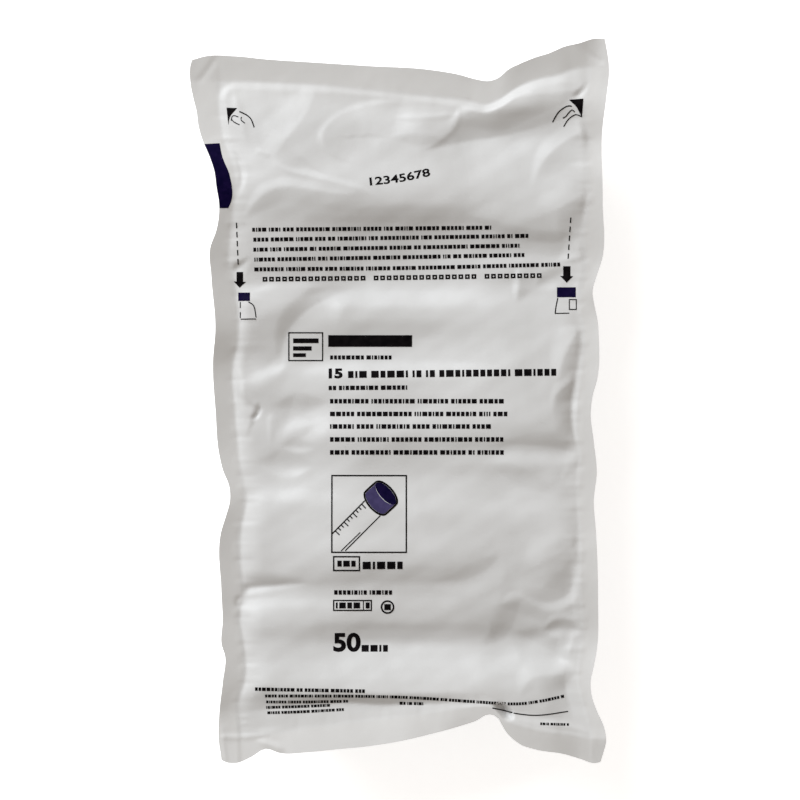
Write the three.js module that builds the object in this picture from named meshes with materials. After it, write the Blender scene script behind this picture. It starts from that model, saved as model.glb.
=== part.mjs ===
// A sealed peel-open pack of fifty 15 ml conical tubes: two webs of white film, welded to each
// other in a flat seal round all four sides, with the tubes lying across the pack in layers.
// It can't be seen into, so the whole pack is one closed solid. The pack lies on its back web.
// Millimetres. +X across the pack, +Y towards the peel end, +Z out of the printed face.
import * as THREE from "three";
import { mergeVertices } from "three/addons/utils/BufferGeometryUtils.js";

// The pack as it lies, seal edge to seal edge.
const PACK_WIDTH = 181;
const PACK_LENGTH = 313;

// The seal, which the full pack tips up outward, and the two webs welded in it.
const SIDE_SEAL_WIDTH = 8.2;
const END_SEAL_WIDTH = 10.4;
const SEAL_THICKNESS = 0.3;
const SEAL_HEIGHT = 43; // the seam's, over the surface that the pack lies on, where it is full
const SIDE_TIP = 22; // degrees up from flat, along the sides
const END_TIP = 12; // along the foot and peel ends

// The body: how far the front web stands off the seam over the full layers of tubes, and how
// much lower than that surface the tubes would push the back web if the surface gave way.
const FRONT_RISE = 7;
const BACK_PRESS = 4;

// The rounded walls, from the seam to where a web has reached its full height.
const SIDE_ROUND = 16;
const FOOT_ROUND = 18;
const PEEL_ROUND = 30;
const BACK_ROUND = 28; // on all four sides

// The peel end, where no tube lies: its length, the slope down to it, and its share of the rise.
const SLACK_LENGTH = 34;
const SLACK_SLOPE = 75;
const SLACK_SHARE = 0.86;

// How far an edge's waves reach into the pack.
const WAVE_REACH = 44;

// Cells of the surface across each part of the pack.
const SEAL_CELLS = 2;
const ROUND_CELLS = 5;
const ACROSS_CELLS = 10;
const ALONG_CELLS = 26;

// Each edge of the seal as it hangs: [share of the edge, how far it is drawn in, its lift].
// Sides run from the foot end to the peel end, ends from left to right.
const LEFT_EDGE = [
  [0, 13.4, -8], [0.07, 12.7, -4], [0.135, 15.4, 1], [0.225, 14, 2], [0.3, 13.6, 0], [0.362, 17.2, 3],
  [0.41, 13.4, -1], [0.545, 9.9, -3], [0.61, 11.2, 0], [0.71, 8.6, -2], [0.77, 12.7, 4], [0.83, 8.8, 1],
  [0.9, 2.8, -3], [0.965, 0.2, -5], [1, 1.2, -7],
];
const RIGHT_EDGE = [
  [0, 4.5, -8], [0.04, 2, -7], [0.105, 8, -3], [0.175, 5, -5], [0.28, 6, -4], [0.36, 6.6, -5],
  [0.41, 5.8, -4], [0.485, 8.4, -1], [0.585, 5, -5], [0.648, 7.4, -1], [0.71, 3.4, -4], [0.87, 3, -3],
  [0.96, 0.3, -2], [1, 2.2, 0],
];
const FOOT_EDGE = [
  [0, 2, -8], [0.08, 1, -7], [0.13, 6, -2], [0.2, 4.5, -4], [0.35, 6.4, -5], [0.5, 9.8, -5],
  [0.62, 15, -2], [0.71, 21, 5], [0.76, 12.5, 1], [0.85, 5.6, -5], [1, 0.2, -8],
];
const PEEL_EDGE = [
  [0, 9.6, -7], [0.08, 8, -6], [0.22, 10, -4], [0.36, 11.6, -3], [0.5, 13.5, -3], [0.61, 15.2, -4],
  [0.715, 19.4, -7], [0.78, 13, -2], [0.87, 6.4, 1], [1, 0.3, 0],
];

const FILM = new THREE.MeshStandardMaterial({ color: 0xe9e9e7, roughness: 0.42, metalness: 0 });

const { lerp, clamp, smoothstep, degToRad } = THREE.MathUtils;

// A smooth curve through one column of an edge's rows, read at a share from 0 to 1.
function curveThrough(rows, column) {
  const at = rows.map((row) => row[0]);
  const values = rows.map((row) => row[column]);
  const slope = (i) => {
    const [before, after] = [Math.max(i - 1, 0), Math.min(i + 1, at.length - 1)];
    return (values[after] - values[before]) / (at[after] - at[before]);
  };
  return (share) => {
    const passed = at.filter((a) => a <= share).length;
    const i = clamp(passed - 1, 0, at.length - 2);
    const span = at[i + 1] - at[i];
    const t = (share - at[i]) / span;
    return (
      (1 + 2 * t) * (1 - t) ** 2 * values[i] +
      t * (1 - t) ** 2 * span * slope(i) +
      t * t * (3 - 2 * t) * values[i + 1] +
      t * t * (t - 1) * span * slope(i + 1)
    );
  };
}

// An edge as its straight chord between the corners, the waves on it, and its lift.
function edgeOf(rows) {
  const drawnIn = curveThrough(rows, 1);
  const chord = (share) => lerp(drawnIn(0), drawnIn(1), share);
  return { chord, wave: (share) => drawnIn(share) - chord(share), lift: curveThrough(rows, 2) };
}

const left = edgeOf(LEFT_EDGE);
const right = edgeOf(RIGHT_EDGE);
const foot = edgeOf(FOOT_EDGE);
const peel = edgeOf(PEEL_EDGE);

// 1 at an edge, 0 at WAVE_REACH from it.
const fade = (distance) => 1 - smoothstep(distance, 0, WAVE_REACH);

// The seal on one pair of sides: its width in plan, and its rise at a distance from its edge.
function sealTippedBy(degrees, width) {
  const plan = width * Math.cos(degToRad(degrees));
  const rise = (fromEdge) => Math.max(plan - fromEdge, 0) * Math.tan(degToRad(degrees));
  return { plan, rise };
}

const sideSeal = sealTippedBy(SIDE_TIP, SIDE_SEAL_WIDTH);
const endSeal = sealTippedBy(END_TIP, END_SEAL_WIDTH);

// A rounded wall: 0 at the seam, 1 where the web has reached its full height.
function wall(fromSeam, round) {
  const share = clamp(fromSeam / round, 0, 1);
  return 1 - (1 - share) ** 2;
}

// How full the pack is at a distance from the peel end.
function fullness(fromPeel) {
  return lerp(SLACK_SHARE, 1, smoothstep(fromPeel, SLACK_LENGTH, SLACK_LENGTH + SLACK_SLOPE));
}

// Where a point of the pack, given in plan from its foot-left corner, lies in the filled pack.
function laid(planX, planY, isFront) {
  const [across, along] = [planX / PACK_WIDTH, planY / PACK_LENGTH];
  const [fromRight, fromPeel] = [PACK_WIDTH - planX, PACK_LENGTH - planY];
  const x =
    lerp(left.chord(along), PACK_WIDTH - right.chord(along), across) +
    left.wave(along) * fade(planX) -
    right.wave(along) * fade(fromRight);
  const y =
    lerp(foot.chord(across), PACK_LENGTH - peel.chord(across), along) +
    foot.wave(across) * fade(planY) -
    peel.wave(across) * fade(fromPeel);
  const nearness = [fade(planX), fade(fromRight), fade(planY), fade(fromPeel)];
  const lifts = [left.lift(along), right.lift(along), foot.lift(across), peel.lift(across)];
  const weight = nearness.reduce((sum, near) => sum + near ** 2, 1e-9);
  const pull = nearness.reduce((sum, near, i) => sum + near ** 2 * lifts[i], 0);
  const full = fullness(fromPeel);
  const tipped = Math.hypot(
    sideSeal.rise(Math.min(planX, fromRight)),
    endSeal.rise(Math.min(planY, fromPeel)),
  );
  const seal = SEAL_HEIGHT * full + (pull / weight) * Math.max(...nearness) + tipped;
  const bulge = (side, footEnd, peelEnd) =>
    (wall(planX - sideSeal.plan, side) *
      wall(fromRight - sideSeal.plan, side) *
      wall(planY - endSeal.plan, footEnd) *
      wall(fromPeel - endSeal.plan, peelEnd)) **
    0.7;
  const front = full * bulge(SIDE_ROUND, FOOT_ROUND, PEEL_ROUND);
  const back = bulge(BACK_ROUND, BACK_ROUND, BACK_ROUND);
  const z = isFront
    ? seal + SEAL_THICKNESS / 2 + FRONT_RISE * front
    : Math.max(seal - SEAL_THICKNESS / 2 - (SEAL_HEIGHT + BACK_PRESS) * back, 0);
  return [x, y, z];
}

// Stations across one direction of the pack: the seals, the rounded walls and the panel.
function stations(size, sealPlan, round, panelCells) {
  const steps = (from, to, cells) =>
    Array.from({ length: cells }, (_, i) => from + ((to - from) * i) / cells);
  const [firstSeam, lastSeam] = [sealPlan, size - sealPlan];
  return [
    ...steps(0, firstSeam, SEAL_CELLS),
    ...steps(0, 1, ROUND_CELLS).map((share) => firstSeam + round * share ** 1.5),
    ...steps(firstSeam + round, lastSeam - round, panelCells),
    ...steps(1, 0, ROUND_CELLS).map((share) => lastSeam - round * share ** 1.5),
    ...steps(lastSeam, size, SEAL_CELLS),
    size,
  ];
}

// The pack's closed surface: a thin box whose two large faces become the two webs.
function packGeometry() {
  const xs = stations(PACK_WIDTH, sideSeal.plan, BACK_ROUND, ACROSS_CELLS);
  const ys = stations(PACK_LENGTH, endSeal.plan, BACK_ROUND, ALONG_CELLS);
  const [nx, ny] = [xs.length - 1, ys.length - 1];
  const box = new THREE.BoxGeometry(nx, ny, 1, nx, ny, 1);
  box.deleteAttribute("normal");
  box.deleteAttribute("uv");
  const webs = mergeVertices(box);
  const at = webs.getAttribute("position");
  for (let i = 0; i < at.count; i++) {
    const planX = xs[Math.round(at.getX(i) + nx / 2)];
    const planY = ys[Math.round(at.getY(i) + ny / 2)];
    at.setXYZ(i, ...laid(planX, planY, at.getZ(i) > 0));
  }
  return webs;
}

// The origin is the middle of the pack's outline, on the surface that it lies on.
function centred(geometry) {
  geometry.computeBoundingBox();
  const middle = geometry.boundingBox.getCenter(new THREE.Vector3());
  geometry.translate(-middle.x, -middle.y, -geometry.boundingBox.min.z);
  geometry.computeVertexNormals();
  return geometry;
}

const sealedPack = new THREE.Mesh(centred(packGeometry()), FILM);
sealedPack.name = "sealed_pack";

const pack = new THREE.Group();
pack.add(sealedPack);

export default pack;
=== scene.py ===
"""A sealed peel-open pack of conical tubes, lying on its back: a pouch of white film and its print.

Lengths in the tables are millimetres from the middle of the pack, +X across it, +Y towards the
peel end, and +Z up from the surface that it lies on.
"""

import math
import random

import bmesh
import bpy
import numpy as np
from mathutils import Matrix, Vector
from mathutils.bvhtree import BVHTree


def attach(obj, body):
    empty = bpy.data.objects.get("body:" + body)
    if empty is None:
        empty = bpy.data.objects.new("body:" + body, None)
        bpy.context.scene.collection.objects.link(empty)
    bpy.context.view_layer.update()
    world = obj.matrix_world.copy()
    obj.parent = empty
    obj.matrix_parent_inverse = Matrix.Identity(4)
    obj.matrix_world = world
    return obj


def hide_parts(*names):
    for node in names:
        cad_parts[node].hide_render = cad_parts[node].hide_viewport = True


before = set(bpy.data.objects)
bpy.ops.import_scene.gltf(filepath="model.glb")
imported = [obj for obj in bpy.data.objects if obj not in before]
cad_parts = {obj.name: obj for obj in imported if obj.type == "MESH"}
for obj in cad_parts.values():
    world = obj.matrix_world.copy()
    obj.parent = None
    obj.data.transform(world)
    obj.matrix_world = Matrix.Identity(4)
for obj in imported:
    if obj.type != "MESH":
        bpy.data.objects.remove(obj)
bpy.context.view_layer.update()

MM = 0.001

# ------------------------ the seal and its seam, in plan

# On the long sides a row is (along the pack, across it); at the ends it is (across, along).
LEFT_EDGE = [
    (-158, -76.4), (-153, -77), (-147, -77.9), (-134, -77.6), (-121, -76.1), (-110, -75.3),
    (-106, -76.6), (-95, -76.3), (-82, -76.9), (-56.5, -76.9), (-50, -74.9), (-43.5, -73.2),
    (-37, -73.6), (-30.5, -76.2), (-24, -77.8), (-5, -79.5), (17, -80.6), (30, -79.5), (53, -81.2),
    (66, -81.6), (73, -79.1), (84, -77.8), (92, -79), (99, -80), (105, -82), (112, -85),
    (118, -86.8), (125, -87.8), (131, -89.3), (137.5, -90.5), (145, -90.4), (149, -89),
]
LEFT_SEAM = [
    (-145, -69.6), (-129, -70.3), (-121, -68.1), (-103, -68.7), (-95, -70), (-82, -68.7),
    (-69, -69.8), (-56, -69.6), (-43, -67.5), (-30, -69.2), (-17, -70.3), (0, -71.5), (15, -72.2),
    (26, -70), (43, -70.3), (52, -72.2), (58, -73.9), (73, -73.1), (82, -72.2), (90, -71.3),
    (99, -71.8), (106, -73.9), (112, -76.1), (121, -77.8), (129, -78.7), (138, -78.7),
]
RIGHT_EDGE = [
    (-158, 86), (-153, 87.5), (-147, 89), (-140.5, 88), (-134, 85.1), (-128, 83), (-121, 82.5),
    (-115, 83.8), (-108, 85.1), (-86, 85.6), (-56.5, 84.7), (-43.5, 83.8), (-31, 85.1),
    (-18, 83.8), (-5, 82.5), (2, 83.4), (8, 85.1), (28, 86), (34, 85.6), (40.5, 84.3), (47, 83.4),
    (53, 85), (60, 87.3), (86, 87.7), (118, 87.7), (131, 89.4), (144, 90.6), (150, 89.9),
    (157, 88.6),
]
RIGHT_SEAM = [
    (-145, 83), (-138, 81.7), (-129, 79.1), (-121, 77.4), (-112, 77.8), (-103, 79.1), (-78, 78.2),
    (-60, 78.2), (-43, 77.4), (-34, 77.4), (-24, 78.2), (-13, 76.5), (-4, 76.5), (9, 77.8),
    (17, 79.1), (31, 79.5), (39, 78.2), (47, 78.7), (60, 80.8), (69, 79.5), (80, 81.2), (90, 82.3),
    (103, 81.2), (114, 82.3), (121, 80.4), (129, 80.4), (136, 82.1), (144, 83),
]
PEEL_EDGE = [
    (-90, 147), (-84, 148.7), (-71, 148.7), (-58, 147.4), (-39, 146.1), (-13, 144.4), (13, 142.7),
    (26, 140.5), (33, 138.6), (39, 137.9), (43, 139.4), (47, 142.8), (52, 145.3), (58, 147.8),
    (65, 150), (71, 152.6), (78, 154.3), (84, 156.2), (91, 156),
]
PEEL_SEAM = [
    (-78.7, 137.9), (-69, 137.7), (-51, 137.1), (-34, 136.4), (-17, 134.9), (0, 133.2),
    (17, 131.2), (30, 129.3), (37, 127.6), (43, 129.7), (50, 134.5), (60, 138.8), (68, 140.5),
    (76, 143.1), (83, 144),
]
FOOT_EDGE = [
    (-78, -154), (-76, -155.5), (-71, -156.5), (-64, -153.9), (-58, -150.4), (-51.5, -152.1),
    (-39, -151.7), (-26, -150.4), (-13, -149.1), (0, -147), (13, -144), (26, -140.5),
    (32.5, -138.4), (39, -135.5), (43, -137.6), (45.5, -142.4), (48.5, -145.7), (52, -148.3),
    (58, -150.4), (71, -152.6), (78, -154.7), (84, -156.5), (89, -155),
]
FOOT_SEAM = [
    (-70, -145.2), (-59, -144.4), (-51, -143.5), (-43, -141.8), (-26, -139.6), (-8, -137.5),
    (0, -136.6), (17, -134), (26, -132.7), (35, -131.9), (39, -132.3), (43, -134.5), (48, -138.8),
    (52, -140.1), (58, -141.8), (65, -143.1), (73, -144), (83, -145.7),
]

SEAL_THICKNESS = 0.3

# ------------------------ heights along the pack

# Rows of (along the pack, height). The seams hang between the tubes' ends.
SEAM_HEIGHT_LEFT = [
    (-158, 47.2), (-140, 47.2), (-120, 46), (-104, 44.6), (-90, 43.6), (-70, 43.2), (-45, 43.2),
    (-20, 40), (0, 39.5), (15, 39.8), (30, 42.2), (50, 42.4), (70, 44), (95, 44.8), (115, 40.5),
    (140, 37.5), (158, 36.5),
]
SEAM_HEIGHT_RIGHT = [
    (-158, 48.4), (-135, 48.4), (-118, 46.7), (-104, 45.2), (-86, 46.9), (-75, 47.9), (-64, 48),
    (-55, 47.3), (-40, 46.6), (-20, 46.6), (0, 46.3), (20, 45.2), (45, 43.3), (62, 43), (80, 44.4),
    (95, 44.8), (112, 42.4), (127, 42.6), (140, 40.6), (158, 39),
]
# How much higher the foot's seam hangs: (across the pack, lift).
FOOT_LIFT = [(-80, 0), (-50, 0), (-15, 0.5), (8, 1.4), (35, 2.2), (60, 2.3), (80, 1.4)]
# The front web's long profile over the tubes, and over the slack end past y = 95: near the left
# seam, over the middle and near the right seam.
PANEL_LEFT = [
    (-146, 47.4), (-130, 48.8), (-124, 48.8), (-118, 47.9), (-112, 46.8), (-104, 46.4), (-97, 46.9),
    (-90, 45.8), (-85, 44), (-81, 43.8), (-77.3, 44.9), (-69, 45.8), (-50, 45.4), (-44, 44.8),
    (-38, 42.8), (-32, 42), (-16, 42.4), (-4, 42), (4, 42.8), (10, 42.4), (16, 41.6), (24, 42.4),
    (32, 44), (38, 44.8), (43, 44.6), (50, 43), (54, 43.2), (60, 44.2), (68, 44.7), (78, 45.3),
    (86, 46.4), (92, 46.7), (100, 45.6), (112, 43), (124, 41), (134, 39), (145, 38),
]
PANEL_MIDDLE = [
    (-146, 48.2), (-133, 50.2), (-127.5, 50.5), (-122, 49.1), (-116, 46.9), (-110, 44.4), (-105, 42.9),
    (-100, 43.9), (-96, 45.4), (-91, 46.2), (-83, 46.6), (-79, 47.2), (-75, 48.5), (-71, 49.6),
    (-67, 50), (-56, 49.1), (-48, 48.6), (-40, 47.2), (-32, 46.2), (-24, 46.6), (-16, 47.7),
    (-4, 46.2), (4, 46), (12, 45), (16, 42.8), (20, 41.9), (26, 41.55), (36, 42.7), (40, 42.35),
    (48, 38.8), (52, 38.2), (56, 38.4), (60, 38.9), (64, 39.8), (68, 40.8), (72, 42), (76, 43.8),
    (80, 46), (84, 47.7), (88, 48.2), (92, 48), (96, 47.2), (100, 46.1), (104, 45), (112, 43.3),
    (120, 41.5), (128, 39.2), (134, 38), (145, 37.5),
]
PANEL_RIGHT = [
    (-146, 48.8), (-130, 49.5), (-124, 49), (-119, 47.7), (-109, 44), (-103, 43.7), (-96, 45.6),
    (-88, 47.1), (-80, 47.6), (-74, 48), (-68, 48.4), (-60, 48.6), (-49, 48.3), (-43, 47.3),
    (-38, 46.7), (-33, 46.6), (-28, 47.1), (-22, 46.9), (-17, 48.2), (-12, 49), (0, 48.6), (10, 47.6),
    (24, 45.65), (40, 43.6), (46, 42.45), (50, 42), (54, 42.2), (58, 42.2), (63, 41.7), (67, 42.3),
    (71, 43.5), (76, 44.9), (81, 45.7), (92, 45), (104, 42.6), (114, 40.8), (120, 41.4), (127, 43),
    (133, 42), (145, 40),
]
# How steeply the full pack tips its seals up outward.
LEFT_TIP = [(-155, 0), (-140, 0.05), (-128, 0.25), (60, 0.25), (85, 0.22), (112, 0.06), (150, 0.1)]
RIGHT_TIP = [(-155, 0.05), (-135, 0.16), (-85, 0.16), (-60, 0.08), (25, 0.1), (40, -0.02), (52, 0.14),
             (65, 0.1), (120, 0.1), (155, 0.06)]
FOOT_TIP = [(-80, 0.12), (-60, 0.12), (-45, 0.2), (0, 0.2), (16, 0.12), (30, -0.05),
            (45, -0.05), (88, -0.08)]
PEEL_TIP = [(-90, 0.12), (-75, 0.17), (-20, 0.17), (25, 0.25), (40, 0.15), (52, 0.25), (76, 0.25),
            (88, 0.05)]
# The film goes on down from the tipped seal to a gutter, and then up the wall of the panel:
# how wide and how deep the gutter's outer bank is, and how wide the wall is.
LEFT_BANK = [(-150, 1.5), (-34, 1.5), (-26, 0.5), (150, 0.5)]
RIGHT_BANK = [(-150, 6), (-125, 6.5), (-112, 5), (-100, 4), (-90, 4.5), (-66, 4), (-58, 1), (-25, 1.2),
              (0, 2.5), (15, 2), (150, 2)]
FOOT_BANK = [(-80, 10), (-50, 11), (-30, 9.5), (0, 5.6), (20, 3), (32, 1), (45, 1.5), (60, 3), (80, 4)]
LEFT_DEPTH = [(-150, 0.3), (-128, 0.3), (-100, 0.45), (-60, 0.25), (-34, 0.25), (-26, 0.1), (150, 0.1)]
RIGHT_DEPTH = [(-150, 0.5), (-128, 1.1), (-116, 0.7), (-105, 0.3), (-95, 0.4), (-66, 0.5), (-58, 0.1),
               (-20, 0.2), (0, 0.8), (15, 0.1), (150, 0.1)]
FOOT_DEPTH = [(-80, 0.6), (-10, 0.6), (5, 0.4), (40, 0.3), (85, 0.5)]
LEFT_WALL = [(-146, 10), (-122, 13), (-104, 10), (-20, 9), (5, 5), (40, 5), (60, 9), (80, 14),
             (105, 20), (145, 22)]
RIGHT_WALL = [(-146, 14), (-124, 12), (-112, 8), (-95, 8), (-66, 16), (-45, 14), (-25, 7), (-5, 9), (15, 8),
              (40, 8), (80, 10), (105, 15), (145, 15)]
FOOT_WALL = [(-80, 18), (-62, 14), (-47, 6), (-38, 5), (85, 5)]
# How far the film stands up off the seam along the peel end: (across the pack, height).
PEEL_RIM = [(-85, 0.8), (22, 0.8), (34, 0.25), (85, 0.2)]
PEEL_WALL = 12
GUTTER_RUN = 12  # from the gutter to where its depth is made up under the wall
# The rim's rounded corners, its width, and where along the pack it begins and is full.
LEFT_CORNER, RIGHT_CORNER = 8, 7
RIM_WIDTH = 3.4
RIM_START, RIM_FULL = 92, 122
# The middle profile holds between these places, and the side ones from this far outside them.
MIDDLE_FROM, MIDDLE_TO = -12, 2
LEFT_BLEND, RIGHT_BLEND = 44, 52
# How high the seal's puckers and the film's own slack stand.
SIDE_PUCKER, END_PUCKER, FILM_SLACK = 0.16, 0.08, 0.15
BELLY_RUN = 24  # the back web's round wall, from the seam to where it lies flat
PLEAT_SHARE, PLEAT_LENGTH = 0.17, 42  # how far that run swings, and its longest wave
# Where an edge, a seam, the other seam and the other edge lie on the whole.
MEAN_ACROSS, MEAN_ALONG = (-85, -73, 79, 86), (-152, -141, 137, 148)
SPAN_ACROSS, SPAN_ALONG = MEAN_ACROSS[2] - MEAN_ACROSS[1], MEAN_ALONG[2] - MEAN_ALONG[1]

# ------------------------ folds of the front web

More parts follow.
